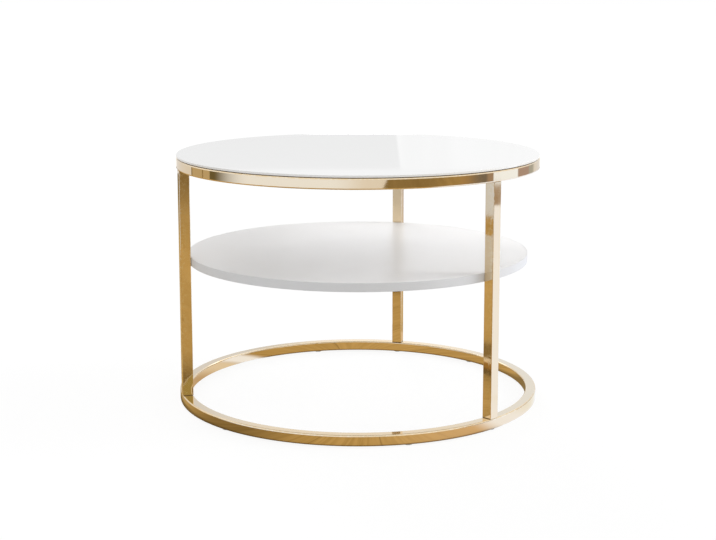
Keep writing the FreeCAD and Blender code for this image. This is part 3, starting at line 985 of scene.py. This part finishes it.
def front_card():
    """The card on the camera's side: painted shadow at its left end, warm at its right end, white above.
    """
    finish = card_finish("front_card")
    across, _, height = finish.axes(finish.spot())
    tone = finish.blend(finish.ramp(across, *WARM_ACROSS), COOL_WHITE, WARM_WHITE)
    # Painted shadow at the left end
    tone = finish.blend(finish.ramp(across, *SHADOW_ACROSS), SHADOW, tone)
    tone = finish.blend(finish.ramp(height, *FADE_HEIGHTS), tone, FADED_WHITE)
    upright_card("front_card", FRONT_PLAN, ROOM_HEIGHTS, shine(finish, tone))


def right_card():
    """The card on the right: a stretch of painted shade, a bright one, and dull ones."""
    finish = card_finish("right_card")
    across, along, _ = finish.axes(finish.spot())
    tone = stepped(finish, turn_of(across, along), RIGHT_START, RIGHT_TONES)
    upright_card("right_card", arc_plan(RIGHT_TURNS, RIGHT_RADIUS), LOW_HEIGHTS, shine(finish, tone))


def back_card():
    """The card behind the table: the glass mirrors its lower part, the shelf and ring the rest."""
    finish = card_finish("back_card")
    across, _, height = finish.axes(finish.spot())
    folds = finish.ramp(finish.noise(FOLD_SCALE, FOLD_DETAIL, FOLD_STRETCH), *FOLD_LEVELS)
    lean = across - EDGE_ACROSS - (height - EDGE_HEIGHT) * EDGE_LEAN
    pale = finish.blend(folds, DULL_FOLD, PALE_FOLD)
    tone = finish.blend(finish.ramp(lean, -EDGE_SOFT, EDGE_SOFT), BACK_GREY, pale)
    tone = finish.blend(finish.ramp(height, *BRIM_HEIGHTS), tone, BRIM)
    middle = finish.blend(finish.ramp(across, *MIDDLE_ACROSS), MIDDLE_LEFT, MIDDLE_RIGHT)
    middle = finish.blend(finish.ramp(across, *BESIDE_ACROSS), middle, BRIM)
    tone = finish.blend(finish.ramp(height, *MIDDLE_HEIGHTS), tone, middle)
    upper = finish.blend(finish.ramp(across, *UPPER_ACROSS), UPPER_LEFT, UPPER_RIGHT)
    upper = finish.blend(finish.ramp(height, *CREST_HEIGHTS), upper, CREST)
    tone = finish.blend(finish.ramp(height, *UPPER_HEIGHTS), tone, upper)
    upright_card("back_card", BACK_PLAN, BACK_HEIGHTS, shine(finish, tone))


def shelf_card():
    """A low card behind the table that the shelf mirrors: brightest in the middle, duller at its foot."""
    finish = card_finish("shelf_card")
    across, _, height = finish.axes(finish.spot())
    tone = stepped(finish, across, SHELF_START, SHELF_TONES)
    tone = finish.blend(finish.ramp(height, *SHELF_FADE), SHELF_START, tone)
    upright_card("shelf_card", SHELF_CARD_PLAN, SHELF_CARD_HEIGHTS, shine(finish, tone))


def soft_sun(name, turn, elevation, level):
    """A wide sun; its level is what it adds to a white surface that lies flat."""
    data = bpy.data.lights.new(name, "SUN")
    data.energy = level * math.pi / math.sin(math.radians(elevation))
    data.angle = math.radians(SUN_WIDTH)
    lamp = bpy.data.objects.new(name, data)
    tilt = math.radians(90 - elevation)
    lamp.rotation_euler = (tilt, 0, math.radians(CAMERA_AZIMUTH + turn))
    lamp.visible_glossy = False
    bpy.context.scene.collection.objects.link(lamp)


# The table's pieces and finishes
gold = polished_gold()
tube_ring("top_ring", gold, access_from_above=True)
tube_ring("bottom_ring", gold, access_from_above=False)
for leg in LEG_AZIMUTHS:
    leg_tube(leg, gold)
glass_plate(white_glass(), glass_rim(), white_lacquer())
shelf_panel(coated_board())
shelf_band(plastic_edging())
silicone_pads(clear_silicone())
zinc = zinc_plate()
dress_nodes([
    (("plug",), sawn_steel()),
    (("bolts", "washers", "screws"), zinc),
    (("tab",), gold),
    (("caps",), moulded_plastic("cap_plastic", CAP_LIGHT, CAP_DARK)),
    (("glides",), moulded_plastic("glide_plastic", GLIDE_LIGHT, GLIDE_DARK)),
])

# The camera and the studio round the table
set_camera()
light_room()
pale_floor()
floor_card()
front_card()
right_card()
back_card()
shelf_card()
# A card of painted shadow
plain_card("shadow_card", SHADOW_CARD_PLAN, LOW_HEIGHTS, SHADOW)
plain_card("pale_tan_card", PALE_TAN_PLAN, LOW_HEIGHTS, PALE_TAN)
plain_card("raised_card", arc_plan(RAISED_TURNS, RAISED_RADIUS), RAISED_HEIGHTS, RAISED_TONE)
for number, turns in enumerate(TAN_TURNS, start=1):
    plain_card(f"tan_card_{number}", arc_plan(turns, TAN_RADIUS), LOW_HEIGHTS, TAN)
for name, (turn, elevation, level) in SUNS.items():
    soft_sun(name, turn, elevation, level)
bpy.context.scene.view_settings.view_transform = "Standard"
